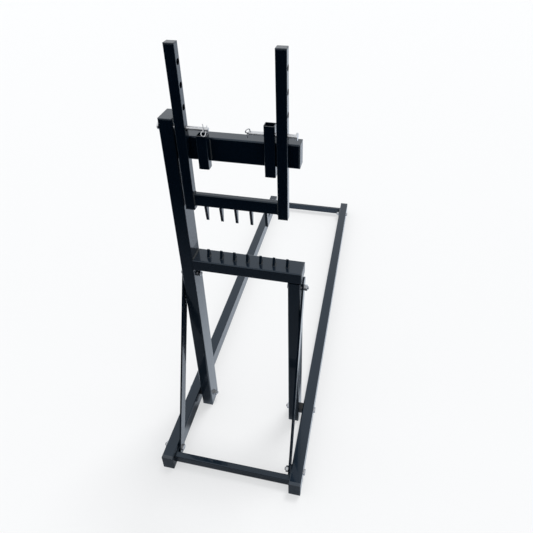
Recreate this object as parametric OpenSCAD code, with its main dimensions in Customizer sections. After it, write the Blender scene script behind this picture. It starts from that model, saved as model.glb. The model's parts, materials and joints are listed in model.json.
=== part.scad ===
// Log saw stand: a floor frame of two rails carries a tall post and a short leg.
// Logs lie on the toothed lower beam, and a toothed upper jaw hangs above them on two pins.
// Millimetres, +X to the right of the photographed front, +Y to the rear, +Z up from the floor.

/* [Floor frame] */
// Overall width over the two rails
base_w = 480; // [420:1:560]
// Overall length of the rails with their end caps
base_l = 1660; // [1300:5:2000]
// Width of a rail tube
rail_w = 40; // [35:1:50]
// Height of a rail tube
rail_h = 60; // [56:1:70]
// Depth of a crossbar tube, along the rails
crossbar_d = 18; // [15:1:24]
// Height of a crossbar tube
crossbar_h = 34; // [30:1:40]
// Distance from the rails' front end to the front crossbar
front_inset = 19; // [15:1:60]
// Distance from the rails' rear end to the rear crossbar
rear_inset = 34; // [15:1:80]
// Thickness of the tabs on the crossbar ends
tab_t = 4; // [3:0.5:6]
// Distance from a crossbar to its tab bolts
tab_reach = 24; // [18:1:40]
// Height of the tab bolts above the floor
tab_bolt_z = 33; // [28:1:35]

/* [Uprights] */
// Distance from the rails' front end to the middle of the uprights
upright_y = 287.5; // [240:0.5:500]
// Width of the main post
post_w = 40; // [35:1:50]
// Depth of the main post
post_d = 65; // [60:1:75]
// Height of the main post with its cap, above the floor
post_h = 1200; // [1190:1:1300]
// Width of the right leg
leg_w = 38; // [32:1:45]
// Depth of the right leg
leg_d = 65; // [55:1:75]
// Gap between the floor and the feet of the uprights
foot_lift = 1.5; // [0.5:0.5:4]
// Height of the foot bolts above the floor
foot_bolt_z = 38; // [36:1:44]
// Edge length of the square foot spacers
spacer_a = 25; // [20:1:30]
// Width of a brace bar
brace_w = 33; // [24:1:36]
// Thickness of a brace bar
brace_t = 6; // [4:0.5:8]
// Distance from the lower beam's underside down to the upper brace bolts
brace_bolt_drop = 37; // [37:1:150]
// Length of a brace above its upper bolt
brace_top_end = 34; // [22:1:36]
// Length of a brace below its lower bolt
brace_low_end = 22; // [20:1:27]

/* [Log rest] */
// Distance from the post's top down to the lower beam's top
rest_drop = 469; // [400:1:600]
// Height of the lower beam tube
rest_h = 40; // [30:1:50]
// Depth of the lower beam tube
rest_d = 62; // [50:1:65]
// Number of lower teeth
low_tooth_n = 7; // [3:1:7]
// Spacing of the lower teeth
low_tooth_pitch = 41.2; // [30:0.2:46]
// Height of the lower teeth
low_tooth_h = 27; // [20:1:45]
// Depth of a lower tooth at its root
low_tooth_d = 20; // [14:1:40]

/* [Head beam] */
// Distance from the post's top down to the head beam's top
head_drop = 55.6; // [48:0.2:70]
// Height of the head beam tube
head_h = 70; // [50:1:80]
// Depth of the head beam tube
head_d = 40; // [30:1:45]
// Length of the head beam from the post, with its cap
head_l = 328; // [316:1:420]
// Distance from the post's rear face to the head beam's rear face
head_back = 1; // [0:0.5:8]
// Width of a guide tube
guide_w = 28.5; // [24:0.5:34]
// Depth of a guide tube
guide_d = 25; // [22:0.5:30]
// Distance from the post to the middle of the left guide tube
left_guide_x = 73.6; // [70:0.2:110]
// Distance from the post to the middle of the right guide tube
right_guide_x = 253.7; // [230:0.1:270]
// Reach of the left guide tube above the head beam
left_guide_up = 14.2; // [6:0.2:18]
// Reach of the left guide tube below the head beam
left_guide_down = 12.6; // [4:0.2:30]
// Reach of the right guide tube above the head beam
right_guide_up = 57.3; // [44:0.1:80]
// Reach of the right guide tube below the head beam
right_guide_down = 18; // [4:0.5:40]

/* [Upper jaw] */
// Width of a jaw post
jaw_post_w = 28; // [24:0.5:32]
// Depth of a jaw post
jaw_post_d = 24.5; // [20:0.5:28]
// Gap between the main post and the left jaw post
jaw_side_gap = 5; // [2:0.5:12]
// Gap between the right guide tube and the right jaw post
jaw_guide_gap = 4; // [1:0.5:10]
// Gap between the head beam's front and the hanging jaw
jaw_front_gap = 1.7; // [0.5:0.1:6]
// Length of the jaw posts below their lowest holes
jaw_drop = 248; // [180:1:300]
// Length of the jaw posts above their highest hole
jaw_top_end = 47; // [26:1:80]
// Spacing of the pin holes up the jaw posts
hole_pitch = 58; // [40:1:70]
// Number of pin holes up a jaw post
hole_n = 4; // [2:1:5]
// Height of the jaw crossbar
jaw_bar_h = 39; // [30:1:50]
// Depth of the jaw crossbar
jaw_bar_d = 17; // [14:0.5:22]
// Distance from the jaw posts' lower ends up to the jaw crossbar
jaw_bar_lift = 13; // [6:1:40]
// Number of upper teeth
up_tooth_n = 5; // [3:1:5]
// Spacing of the upper teeth
up_tooth_pitch = 43.5; // [30:0.5:50]
// Length of the upper teeth
up_tooth_h = 50; // [30:1:60]
// Offset of the row of upper teeth from the middle of the jaw crossbar
up_tooth_shift = -1.5; // [-8:0.5:8]

/* [Teeth] */
// Thickness of the tooth plate
tooth_t = 7.5; // [4:0.5:8]
// Radius of a tooth's tip
tooth_tip_r = 2; // [1:0.25:3]

/* [Pins and clips] */
// Diameter of a lock pin
pin_d = 11; // [8:0.5:12]
// Diametral clearance of a lock pin in its holes
pin_clear = 1; // [0.4:0.1:1.4]
// Diametral clearance of a lock pin in the jaw posts' holes
jaw_hole_clear = 5; // [2:0.5:6]
// Gap between a lock pin and the upper side of the holes that hang on it
hang_gap = 0.3; // [0.2:0.1:0.5]
// Height of the pins above the head beam
pin_up = 30.6; // [28:0.2:33]
// Length of the left pin under its head
left_pin_l = 133; // [124:1:140]
// Length of the right pin under its head
right_pin_l = 122; // [112:1:130]
// Distance from the right jaw post to the right pin's head
right_pin_out = 20; // [14:1:26]
// Diameter of a pin's head
pin_head_d = 20; // [16:1:24]
// Thickness of a pin's head
pin_head_t = 4; // [3:0.5:6]
// Distance from a pin's end to its clip hole
clip_hole_in = 6; // [4:0.5:8]
// Diameter of the clip wire
clip_wire_d = 2.8; // [2:0.1:3.2]
// Radius of a clip's ring, to the middle of the wire
clip_ring_r = 6.2; // [5.5:0.1:7]
// Distance from the pin's axis to the middle of a clip's ring
clip_ring_u = 15; // [14:0.5:20]
// Length of a clip's straight leg beyond the pin's axis
clip_leg_l = 10; // [8:0.5:20]
// Turn of the left clip about its pin, from upright towards the front
left_clip_turn = 135; // [120:1:140]
// Turn of the right clip about its pin, from upright towards the front
right_clip_turn = 30; // [10:1:45]

/* [Tube stock and caps] */
// Wall of the frame tubes
wall = 2.5; // [2:0.25:3]
// Wall of the jaw posts, guide tubes and crossbars
thin_wall = 2; // [1.5:0.25:2.5]
// Outer corner radius of the frame tubes
corner_r = 4; // [3.25:0.25:6]
// Outer corner radius of the jaw posts, guide tubes and crossbars
thin_corner_r = 3; // [2.75:0.25:4]
// Thickness of the rail caps' heads
rail_cap_t = 10; // [4:0.5:12]
// Thickness of the other caps' heads
cap_t = 4; // [3:0.5:6]
// Depth of a cap's plug in its tube
cap_plug = 12; // [8:0.5:13]
// Wall of a cap's plug
cap_wall = 2; // [1.5:0.25:2.5]
// Chamfer round a cap's face
cap_chamfer = 1.2; // [0.5:0.1:2]
// Gap between a cap's plug and its tube
cap_clear = 0.15; // [0.1:0.05:0.3]

/* [Bolts] */
// Diameter of the frame bolts
bolt_d = 10; // [8:0.5:11]
// Diametral clearance of the frame bolts in their holes
bolt_clear = 1; // [0.6:0.1:1.6]
// Width of bolt heads and nuts across their flats
hex_af = 17; // [15:0.5:19]
// Height of a bolt head
bolt_head_h = 6.4; // [5:0.1:8]
// Height of a nut
nut_h = 8; // [6:0.5:10]
// Length of thread beyond a nut
bolt_tail = 4; // [1:0.5:6]
// Diameter of a washer
washer_d = 20; // [18:0.5:24]
// Thickness of a washer
washer_t = 2; // [1:0.25:3]
// Diametral clearance of nuts and washers on their bolts
nut_clear = 0.2; // [0.1:0.1:0.4]

/* [Hidden] */
$fn = 48;

// Finishes
coat = [0.09, 0.1, 0.12];
plastic = [0.06, 0.06, 0.07];
zinc = [0.74, 0.76, 0.79];

// Stations across the stand: rail faces, then tab, brace and washer, then the uprights
rail_out = base_w / 2;
rail_in = rail_out - rail_w;
tab_in = rail_in - tab_t;
brace_in = tab_in - brace_t;
upright_out = brace_in - washer_t;
post_in = -upright_out + post_w;
leg_in = upright_out - leg_w;

// Stations along the stand
front_end = -base_l / 2;
rear_end = base_l / 2;
front_bar_y = front_end + front_inset;
rear_bar_y = rear_end - rear_inset - crossbar_d;
front_bolt_y = front_bar_y + crossbar_d + tab_reach;
rear_bolt_y = rear_bar_y - tab_reach;
stand_y = front_end + upright_y;
head_rear = stand_y + post_d / 2 - head_back;
head_front = head_rear - head_d;
jaw_y = head_front - jaw_front_gap - jaw_post_d / 2;

// Heights
rest_z = post_h - rest_drop;
rest_under = rest_z - rest_h;
brace_bolt_z = rest_under - brace_bolt_drop;
head_z = post_h - head_drop;
head_under = head_z - head_h;
pin_z = head_z + pin_up;
jaw_hole_z = pin_z - jaw_hole_clear / 2 + hang_gap;
jaw_bottom = jaw_hole_z - jaw_drop;
jaw_top = jaw_hole_z + (hole_n - 1) * hole_pitch + jaw_top_end;
jaw_bar_z = jaw_bottom + jaw_bar_lift;

// The jaw's stations across the stand
jaw_left_x = post_in + jaw_side_gap;
jaw_right_x = post_in + right_guide_x + guide_w / 2 + jaw_guide_gap;
jaw_bar_l = jaw_right_x - jaw_left_x - jaw_post_w;

// Pins and clips
pin_hole_d = pin_d + pin_clear;
jaw_hole_d = pin_d + jaw_hole_clear;
left_pin_end = -upright_out + left_pin_l;
right_pin_head = jaw_right_x + jaw_post_w + right_pin_out;
right_pin_end = right_pin_head - right_pin_l;
left_clip_x = left_pin_end - clip_hole_in;
right_clip_x = right_pin_end + clip_hole_in;
pin_chamfer = pin_d / 8;
clip_hole_clear = 0.7;
clip_twist = 45;
clip_hug_gap = 0.3;
clip_hug = (pin_d / 2 + clip_wire_d / 2 + clip_hug_gap) / cos(clip_twist);
clip_ring_sweep = 250;
clip_flare = 3;
clip_steps = 20;
clip_sides = 10;

// Each bolt: x under its head, x under its nut's washer, y, z
bolt_hole_d = bolt_d + bolt_clear;
lower_brace_stations = [
  [-brace_in, -rail_out, front_bolt_y, tab_bolt_z],
  [rail_out, brace_in, front_bolt_y, tab_bolt_z]
];
rear_tab_stations = [
  [-tab_in, -rail_out, rear_bolt_y, tab_bolt_z],
  [rail_out, tab_in, rear_bolt_y, tab_bolt_z]
];
foot_stations = [
  [-rail_out, post_in, stand_y, foot_bolt_z],
  [rail_out, leg_in, stand_y, foot_bolt_z]
];
upper_brace_stations = [
  [-tab_in, post_in, stand_y, brace_bolt_z],
  [leg_in, tab_in, stand_y, brace_bolt_z]
];
all_stations = concat(lower_brace_stations, rear_tab_stations, foot_stations, upper_brace_stations);

// Outlines

module rounded_outline(w, d, r) {
  square([w - 2 * r, d], center = true);
  square([w, d - 2 * r], center = true);
  for (x = [-1, 1], y = [-1, 1])
    translate([x * (w / 2 - r), y * (d / 2 - r)]) circle(r = r);
}

module tube_outline(w, d, t, r) {
  difference() {
    rounded_outline(w, d, r);
    rounded_outline(w - 2 * t, d - 2 * t, r - t);
  }
}

// Where the tooth's flank leaves its round tip: the angle of the flank's outward normal
function flank_angle(half, rise, r) = acos(r / norm([half, rise])) - atan2(rise, half);

module tooth_outline(h, d) {
  rise = h - tooth_tip_r;
  a = flank_angle(d / 2, rise, tooth_tip_r);
  tx = tooth_tip_r * cos(a);
  ty = rise + tooth_tip_r * sin(a);
  polygon([[-d / 2, 0], [d / 2, 0], [tx, ty], [-tx, ty]]);
  translate([0, rise]) circle(r = tooth_tip_r);
}

// Placing helpers: local x, y, z become world Y, Z, X, or X, Z, -Y

module along_x(x) {
  translate([x, 0, 0]) rotate([90, 0, 90]) children();
}

module towards_front(y) {
  translate([0, y, 0]) rotate([90, 0, 0]) children();
}

module tube(w, d, l, t, r) {
  linear_extrude(height = l) tube_outline(w, d, t, r);
}

module frame_tube(w, d, l) {
  tube(w, d, l, wall, corner_r);
}

module thin_tube(w, d, l) {
  tube(w, d, l, thin_wall, thin_corner_r);
}

// A round hole along X through everything between two stations
module cross_hole(d, x0, x1, y, z) {
  translate([x0, y, z]) rotate([0, 90, 0]) cylinder(d = d, h = x1 - x0);
}

// A plug cap on a tube's end: the tube ends at local z = 0 and the head stands above it
module tube_cap(w, d, t, r, head) {
  chamfered_plate(w, d, r, head);
  inner_w = w - 2 * (t + cap_clear);
  inner_d = d - 2 * (t + cap_clear);
  inner_r = max(r - t, cap_clear);
  translate([0, 0, -cap_plug]) linear_extrude(height = cap_plug) difference() {
    rounded_outline(inner_w, inner_d, inner_r);
    square([inner_w - 2 * cap_wall, inner_d - 2 * cap_wall], center = true);
  }
}

module chamfer_side(l, head) {
  polygon([
    [-l / 2, 0], [l / 2, 0], [l / 2, head - cap_chamfer], [l / 2 - cap_chamfer, head],
    [cap_chamfer - l / 2, head], [-l / 2, head - cap_chamfer]
  ]);
}

module chamfered_plate(w, d, r, head) {
  intersection() {
    linear_extrude(height = head) rounded_outline(w, d, r);
    rotate([90, 0, 0]) linear_extrude(height = d, center = true) chamfer_side(w, head);
    rotate([90, 0, 90]) linear_extrude(height = w, center = true) chamfer_side(d, head);
  }
}

// Floor frame

module rail(side) {
  color(coat) difference() {
    translate([side * (rail_out - rail_w / 2), 0, rail_h / 2])
      towards_front(rear_end - rail_cap_t) frame_tube(rail_w, rail_h, base_l - 2 * rail_cap_t);
    for (s = [[front_bolt_y, tab_bolt_z], [rear_bolt_y, tab_bolt_z], [stand_y, foot_bolt_z]])
      if (side > 0) cross_hole(bolt_hole_d, rail_in - 1, rail_out + 1, s[0], s[1]);
      else cross_hole(bolt_hole_d, -rail_out - 1, 1 - rail_in, s[0], s[1]);
  }
}

module left_rail() { rail(-1); }

module right_rail() { rail(1); }

module rail_end_caps() {
  color(plastic) for (side = [-1, 1]) translate([side * (rail_out - rail_w / 2), 0, rail_h / 2]) {
    for (end = [0, 1]) mirror([0, end, 0]) towards_front(front_end + rail_cap_t)
      tube_cap(rail_w, rail_h, wall, corner_r, rail_cap_t);
  }
}

module crossbar(y) {
  color(coat) translate([0, y + crossbar_d / 2, rail_h / 2])
    along_x(-tab_in) thin_tube(crossbar_d, crossbar_h, 2 * tab_in);
}

module front_crossbar() { crossbar(front_bar_y); }

module rear_crossbar() { crossbar(rear_bar_y); }

// A flat tab from a crossbar's outer face to a round end about its bolt
module tab_outline(bolt_y, outer_y) {
  difference() {
    union() {
      translate([min(outer_y, bolt_y), (rail_h - crossbar_h) / 2])
        square([abs(bolt_y - outer_y), crossbar_h]);
      translate([bolt_y, rail_h / 2]) circle(d = crossbar_h);
    }
    translate([bolt_y, tab_bolt_z]) circle(d = bolt_hole_d);
  }
}

module crossbar_tabs() {
  color(coat) for (x = [-rail_in, tab_in]) {
    along_x(x) linear_extrude(height = tab_t) tab_outline(front_bolt_y, front_bar_y);
    along_x(x) linear_extrude(height = tab_t) tab_outline(rear_bolt_y, rear_bar_y + crossbar_d);
  }
}

// Uprights

module main_post() {
  color(coat) difference() {
    translate([post_in - post_w / 2, stand_y, foot_lift + cap_t])
      frame_tube(post_w, post_d, post_h - foot_lift - 2 * cap_t);
    for (z = [foot_bolt_z, brace_bolt_z])
      cross_hole(bolt_hole_d, -upright_out - 1, post_in + 1, stand_y, z);
    cross_hole(pin_hole_d, -upright_out - 1, post_in + 1, jaw_y, pin_z);
  }
}

module post_caps() {
  color(plastic) translate([post_in - post_w / 2, stand_y, 0]) {
    translate([0, 0, post_h - cap_t]) tube_cap(post_w, post_d, wall, corner_r, cap_t);
    translate([0, 0, foot_lift + cap_t]) mirror([0, 0, 1])
      tube_cap(post_w, post_d, wall, corner_r, cap_t);
  }
}

module right_leg() {
  color(coat) difference() {
    translate([upright_out - leg_w / 2, stand_y, foot_lift + cap_t])
      frame_tube(leg_w, leg_d, rest_under - foot_lift - cap_t);
    for (z = [foot_bolt_z, brace_bolt_z])
      cross_hole(bolt_hole_d, leg_in - 1, upright_out + 1, stand_y, z);
  }
}

module leg_foot_cap() {
  color(plastic) translate([upright_out - leg_w / 2, stand_y, foot_lift + cap_t]) mirror([0, 0, 1])
    tube_cap(leg_w, leg_d, wall, corner_r, cap_t);
}

module leg_spacers() {
  color(plastic) for (x = [-rail_in, upright_out]) along_x(x)
    linear_extrude(height = rail_in - upright_out) translate([stand_y, foot_bolt_z]) difference() {
      square(spacer_a, center = true);
      circle(d = bolt_hole_d);
    }
}

module brace(x) {
  run = stand_y - front_bolt_y;
  climb = brace_bolt_z - tab_bolt_z;
  reach = norm([run, climb]);
  low = brace_w / 2 - brace_low_end;
  high = reach + brace_top_end - brace_w / 2;
  color(coat) along_x(x) translate([front_bolt_y, tab_bolt_z, 0]) rotate(atan2(climb, run))
    linear_extrude(height = brace_t) difference() {
      union() {
        translate([low, -brace_w / 2]) square([high - low, brace_w]);
        for (u = [low, high]) translate([u, 0]) circle(d = brace_w);
      }
      for (u = [0, reach]) translate([u, 0]) circle(d = bolt_hole_d);
    }
}

module left_brace() { brace(-tab_in); }

module right_brace() { brace(brace_in); }

// Log rest

module lower_beam() {
  color(coat) translate([0, stand_y, rest_z - rest_h / 2])
    along_x(post_in) frame_tube(rest_d, rest_h, upright_out - post_in);
}

module lower_beam_cap() {
  color(plastic) translate([0, stand_y, rest_z - rest_h / 2])
    along_x(upright_out) tube_cap(rest_d, rest_h, wall, corner_r, cap_t);
}

module tooth(x, h, d) {
  along_x(x - tooth_t / 2) linear_extrude(height = tooth_t) tooth_outline(h, d);
}

module lower_jaw_teeth() {
  middle = (post_in + upright_out) / 2;
  first = middle - (low_tooth_n - 1) * low_tooth_pitch / 2;
  color(coat) translate([0, stand_y, rest_z]) for (i = [0:low_tooth_n - 1])
    tooth(first + i * low_tooth_pitch, low_tooth_h, low_tooth_d);
}

// Head beam and its guide tubes

module head_beam() {
  color(coat) translate([0, head_rear - head_d / 2, head_z - head_h / 2])
    along_x(post_in) frame_tube(head_d, head_h, head_l - cap_t);
}

module head_beam_cap() {
  color(plastic) translate([0, head_rear - head_d / 2, head_z - head_h / 2])
    along_x(post_in + head_l - cap_t) tube_cap(head_d, head_h, wall, corner_r, cap_t);
}

module guide_tube(from_post, up, down) {
  translate([post_in + from_post, head_front - guide_d / 2, head_under - down])
    thin_tube(guide_w, guide_d, head_h + up + down);
}

module left_guide_tube() {
  color(coat) guide_tube(left_guide_x, left_guide_up, left_guide_down);
}

module right_guide_tube() {
  x = post_in + right_guide_x;
  color(coat) difference() {
    guide_tube(right_guide_x, right_guide_up, right_guide_down);
    cross_hole(pin_hole_d, x - guide_w, x + guide_w, jaw_y, pin_z);
  }
}

// Upper jaw

module jaw_post(x) {
  color(coat) difference() {
    translate([x + jaw_post_w / 2, jaw_y, jaw_bottom + cap_t])
      thin_tube(jaw_post_w, jaw_post_d, jaw_top - jaw_bottom - 2 * cap_t);
    for (i = [0:hole_n - 1])
      cross_hole(jaw_hole_d, x - 1, x + jaw_post_w + 1, jaw_y, jaw_hole_z + i * hole_pitch);
  }
}

module jaw_left_post() { jaw_post(jaw_left_x); }

module jaw_right_post() { jaw_post(jaw_right_x); }

module jaw_post_caps() {
  color(plastic) for (x = [jaw_left_x, jaw_right_x]) translate([x + jaw_post_w / 2, jaw_y, 0]) {
    translate([0, 0, jaw_top - cap_t])
      tube_cap(jaw_post_w, jaw_post_d, thin_wall, thin_corner_r, cap_t);
    translate([0, 0, jaw_bottom + cap_t]) mirror([0, 0, 1])
      tube_cap(jaw_post_w, jaw_post_d, thin_wall, thin_corner_r, cap_t);
  }
}

module jaw_crossbar() {
  color(coat) translate([0, jaw_y, jaw_bar_z + jaw_bar_h / 2])
    along_x(jaw_left_x + jaw_post_w) thin_tube(jaw_bar_d, jaw_bar_h, jaw_bar_l);
}

module upper_jaw_teeth() {
  middle = jaw_left_x + jaw_post_w + jaw_bar_l / 2 + up_tooth_shift;
  first = middle - (up_tooth_n - 1) * up_tooth_pitch / 2;
  color(coat) translate([0, jaw_y, jaw_bar_z]) mirror([0, 0, 1]) for (i = [0:up_tooth_n - 1])
    tooth(first + i * up_tooth_pitch, up_tooth_h, jaw_bar_d);
}

// Pins and clips

// A pin along local +Z with its head under the origin, cross drilled for its clip
module lock_pin(l, turn) {
  difference() {
    union() {
      translate([0, 0, -pin_head_t]) cylinder(d = pin_head_d, h = pin_head_t);
      cylinder(d = pin_d, h = l - pin_chamfer);
      translate([0, 0, l - pin_chamfer])
        cylinder(d1 = pin_d, d2 = pin_d - 2 * pin_chamfer, h = pin_chamfer);
    }
    translate([0, 0, l - clip_hole_in]) rotate([0, 0, turn]) rotate([0, 90, 0])
      cylinder(d = clip_wire_d + clip_hole_clear, h = 2 * pin_d, center = true);
  }
}

module left_lock_pin() {
  color(zinc) translate([-upright_out, jaw_y, pin_z]) rotate([0, 90, 0])
    lock_pin(left_pin_l, left_clip_turn);
}

module right_lock_pin() {
  color(zinc) translate([right_pin_head, jaw_y, pin_z]) rotate([0, -90, 0])
    lock_pin(right_pin_l, -right_clip_turn);
}

function bezier(p, t) =
  pow(1 - t, 3) * p[0] + 3 * t * pow(1 - t, 2) * p[1] + 3 * t * t * (1 - t) * p[2] + pow(t, 3) * p[3];

// The clip's wire in its own plane, as [away from the leg, along the leg] from the pin's axis
function clip_path() = let (
  ring = [for (i = [0:clip_steps]) let (a = clip_ring_sweep * i / clip_steps)
    [clip_ring_r * (1 - cos(a)), clip_ring_u + clip_ring_r * sin(a)]],
  start = ring[clip_steps],
  heading = [sin(clip_ring_sweep), cos(clip_ring_sweep)],
  hug = [clip_hug, pin_d / 5],
  bend = [start, start + clip_ring_r / 2 * heading, hug + [0, pin_d * 0.3], hug],
  low = [clip_hug, -clip_leg_l * 0.4],
  tail = [low, low - [0, clip_leg_l * 0.2], [clip_hug + clip_flare / 2, -clip_leg_l * 0.8],
    [clip_hug + clip_flare, -clip_leg_l]],
  half = clip_steps / 2
) concat(
  [[0, -clip_leg_l], [0, 0]], ring,
  [for (i = [1:half]) bezier(bend, i / half)],
  [for (i = [0:half]) bezier(tail, i / half)]
);

// A round wire swept along a flat path
module wire(path, d, sides) {
  n = len(path);
  heading = [for (i = [0:n - 1]) let (v = path[min(i + 1, n - 1)] - path[max(i - 1, 0)]) v / norm(v)];
  points = [for (i = [0:n - 1], k = [0:sides - 1]) let (
    a = 360 * k / sides,
    across = d / 2 * cos(a)
  ) [-(path[i][0] - heading[i][1] * across), d / 2 * sin(a), path[i][1] + heading[i][0] * across]];
  walls = [for (i = [0:n - 2], k = [0:sides - 1]) let (m = (k + 1) % sides)
    [i * sides + k, (i + 1) * sides + k, (i + 1) * sides + m, i * sides + m]];
  first = [for (k = [0:sides - 1]) k];
  last = [for (k = [sides - 1:-1:0]) (n - 1) * sides + k];
  polyhedron(points = points, faces = concat([first], walls, [last]));
}

module retaining_clip(x, turn, twist) {
  color(zinc) translate([x, jaw_y, pin_z]) rotate([turn, 0, 0]) rotate([0, 0, twist])
    wire(clip_path(), clip_wire_d, clip_sides);
}

module left_retaining_clip() { retaining_clip(left_clip_x, left_clip_turn, -clip_twist); }

module right_retaining_clip() { retaining_clip(right_clip_x, right_clip_turn, clip_twist); }

// Bolts: local +Z runs from under the head towards the nut

module at_station(s) {
  translate([s[0], s[2], s[3]]) rotate([0, s[1] > s[0] ? 90 : -90, 0]) children();
}

module bolts(stations) {
  color(zinc) for (s = stations) at_station(s) {
    translate([0, 0, -bolt_head_h]) cylinder(d = hex_af / cos(30), h = bolt_head_h, $fn = 6);
    cylinder(d = bolt_d, h = abs(s[1] - s[0]) + washer_t + nut_h + bolt_tail);
  }
}

module lower_brace_bolts() { bolts(lower_brace_stations); }

module rear_tab_bolts() { bolts(rear_tab_stations); }

module foot_bolts() { bolts(foot_stations); }

module upper_brace_bolts() { bolts(upper_brace_stations); }

module bolt_nuts() {
  color(zinc) for (s = all_stations) at_station(s) translate([0, 0, abs(s[1] - s[0]) + washer_t])
    difference() {
      cylinder(d = hex_af / cos(30), h = nut_h, $fn = 6);
      translate([0, 0, -1]) cylinder(d = bolt_d + nut_clear, h = nut_h + 2);
    }
}

module washer() {
  difference() {
    cylinder(d = washer_d, h = washer_t);
    translate([0, 0, -1]) cylinder(d = bolt_d + nut_clear, h = washer_t + 2);
  }
}

// One washer under each nut, and one between each brace and its upright
module bolt_washers() {
  color(zinc) {
    for (s = all_stations) at_station(s) translate([0, 0, abs(s[1] - s[0])]) washer();
    for (x = [-brace_in, upright_out]) translate([x, stand_y, brace_bolt_z]) rotate([0, 90, 0]) washer();
  }
}

left_rail();
right_rail();
rail_end_caps();
front_crossbar();
rear_crossbar();
crossbar_tabs();
main_post();
post_caps();
right_leg();
leg_foot_cap();
leg_spacers();
left_brace();
right_brace();
lower_beam();
lower_beam_cap();
lower_jaw_teeth();
head_beam();
head_beam_cap();
left_guide_tube();
right_guide_tube();
jaw_left_post();
jaw_right_post();
jaw_crossbar();
upper_jaw_teeth();
jaw_post_caps();
left_lock_pin();
right_lock_pin();
left_retaining_clip();
right_retaining_clip();
lower_brace_bolts();
rear_tab_bolts();
foot_bolts();
upper_brace_bolts();
bolt_nuts();
bolt_washers();
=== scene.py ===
"""Dresses the packed log saw stand: finishes, welds, threaded hardware, wire clips, studio and camera."""

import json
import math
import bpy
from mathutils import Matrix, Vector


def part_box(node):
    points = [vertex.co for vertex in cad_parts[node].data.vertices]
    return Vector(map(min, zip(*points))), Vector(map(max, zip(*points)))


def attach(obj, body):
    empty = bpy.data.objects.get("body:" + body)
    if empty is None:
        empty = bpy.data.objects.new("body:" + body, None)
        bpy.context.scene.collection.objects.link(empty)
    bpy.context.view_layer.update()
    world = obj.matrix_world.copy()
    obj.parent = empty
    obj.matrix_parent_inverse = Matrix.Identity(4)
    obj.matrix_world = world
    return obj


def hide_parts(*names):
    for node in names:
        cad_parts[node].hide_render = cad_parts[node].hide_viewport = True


bl_info = {
    "name": "Log saw stand dresser",
    "version": (1, 0, 0),
    "blender": (4, 5, 0),
    "location": "3D View > Sidebar > Saw stand",
    "description": "Finishes the packed log saw stand and sets a studio round it",
    "category": "Object",
}

import bmesh
import bpy
from bpy.props import FloatProperty, FloatVectorProperty, IntProperty, PointerProperty
from mathutils import Matrix, Vector

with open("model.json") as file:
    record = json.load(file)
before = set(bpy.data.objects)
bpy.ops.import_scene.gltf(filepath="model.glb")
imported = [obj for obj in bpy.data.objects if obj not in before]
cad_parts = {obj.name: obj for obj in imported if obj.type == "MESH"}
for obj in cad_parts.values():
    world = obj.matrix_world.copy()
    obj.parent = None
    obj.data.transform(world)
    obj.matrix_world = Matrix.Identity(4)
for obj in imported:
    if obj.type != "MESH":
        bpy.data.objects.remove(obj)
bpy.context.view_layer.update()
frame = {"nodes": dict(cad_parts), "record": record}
X_AXIS = Vector((1, 0, 0))
Y_AXIS = Vector((0, 1, 0))
Z_AXIS = Vector((0, 0, 1))

# Picture, floor and light
PHOTO_SIDE = 533
SENSOR_MM = 36.0
VIEW_DEPTH = 100.0
FLOOR_HALF = 30.0
FLOOR_GLOW_TINT = (0.985, 0.992, 1.0, 1)
SURROUND_TINT = (0.97, 0.985, 1.0, 1.0)
SURROUND_EDGE = (-0.55, 0.15)
OVERHEAD_HEADING = Vector((-0.18, -0.38, -1.0))

# Shade card, a hidden sheet of painted shade and a painted cool reflection tint. Its height and edges are in
# metres, an edge from none at its first place to full at its second
CARD_HEIGHT = 0.002
CARD_PAINTED_REFLECTION_TINT = (0.84, 0.91, 1.0, 1.0)
CARD_NEAR_DENSITY = 0.78
CARD_ADDED_DENSITY = 0.22
CARD_BEHIND = (-0.6, -0.56)
CARD_FAR = (-0.9, -2.1)
CARD_LEFT_STRIP = ((-0.25, -0.22), (0.04, -0.08))
CARD_LEFT_FRONT = (-0.84, -0.74)
# Where the card keeps painted shade by the main post's foot, darkening the left rail's reflection there
CARD_POST_SIDE = (-0.155, -0.175)
CARD_POST_FRONT = (-0.7, -0.66)
CARD_RIGHT_STRIP = ((0.225, 0.245), (0.36, 0.28))
CARD_RIGHT_FRONT = (-0.836, -0.826)

# Fillet welds: counts and shares. A section point has its shares along the two sides and of the bulge
WELD_SECTION = ((0.74, 0.22, 0.8), (0.46, 0.46, 1.0), (0.22, 0.74, 0.8))
WELD_SINK = 0.16
WELD_RIPPLE = 0.12
WELD_BULGE = 0.04
WELD_RIPPLE_BULGE = 0.07
WELD_END = 0.35
WELD_TAPER = 1.5
LIGHT_WELD = 0.8
RIPPLE_STEPS = 6
ARC_STEPS = 6

# What a weld keeps clear of the corners of its tube or tooth, in metres
TUBE_CORNER = 0.004
BAR_CORNER = 0.003
GUIDE_CORNER = 0.0008
LOWER_TOOTH_CORNER = 0.0006
UPPER_TOOTH_CORNER = 0.003

# Hexagon heads, nuts and washers: shares, the chamfer's slope, and lengths in metres
HEX_RIM = 0.965
HEX_SLOPE = math.tan(math.radians(28))
HEAD_FACE = 0.86
HEAD_DISH = 0.0001
HEAD_SEAT = 0.99
HEAD_SEAT_HEIGHT = 0.0002
NUT_BORE_CHAMFER = 0.0006
WASHER_ROLL = 0.16

# Bolt shanks and threads: counts, lengths in metres, and shares of the thread's pitch or depth
SHANK_SIDES = 24
SHANK_SINK = 0.0005
SHANK_CLEARANCE = 0.00004
THREAD_STEPS = 6
THREAD_FLANK = 2.7
THREAD_LEAD = 0.0004
THREAD_RUN_OUT = 0.9
THREAD_END = 1.25
THREAD_END_CHAMFER = 0.0002

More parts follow.
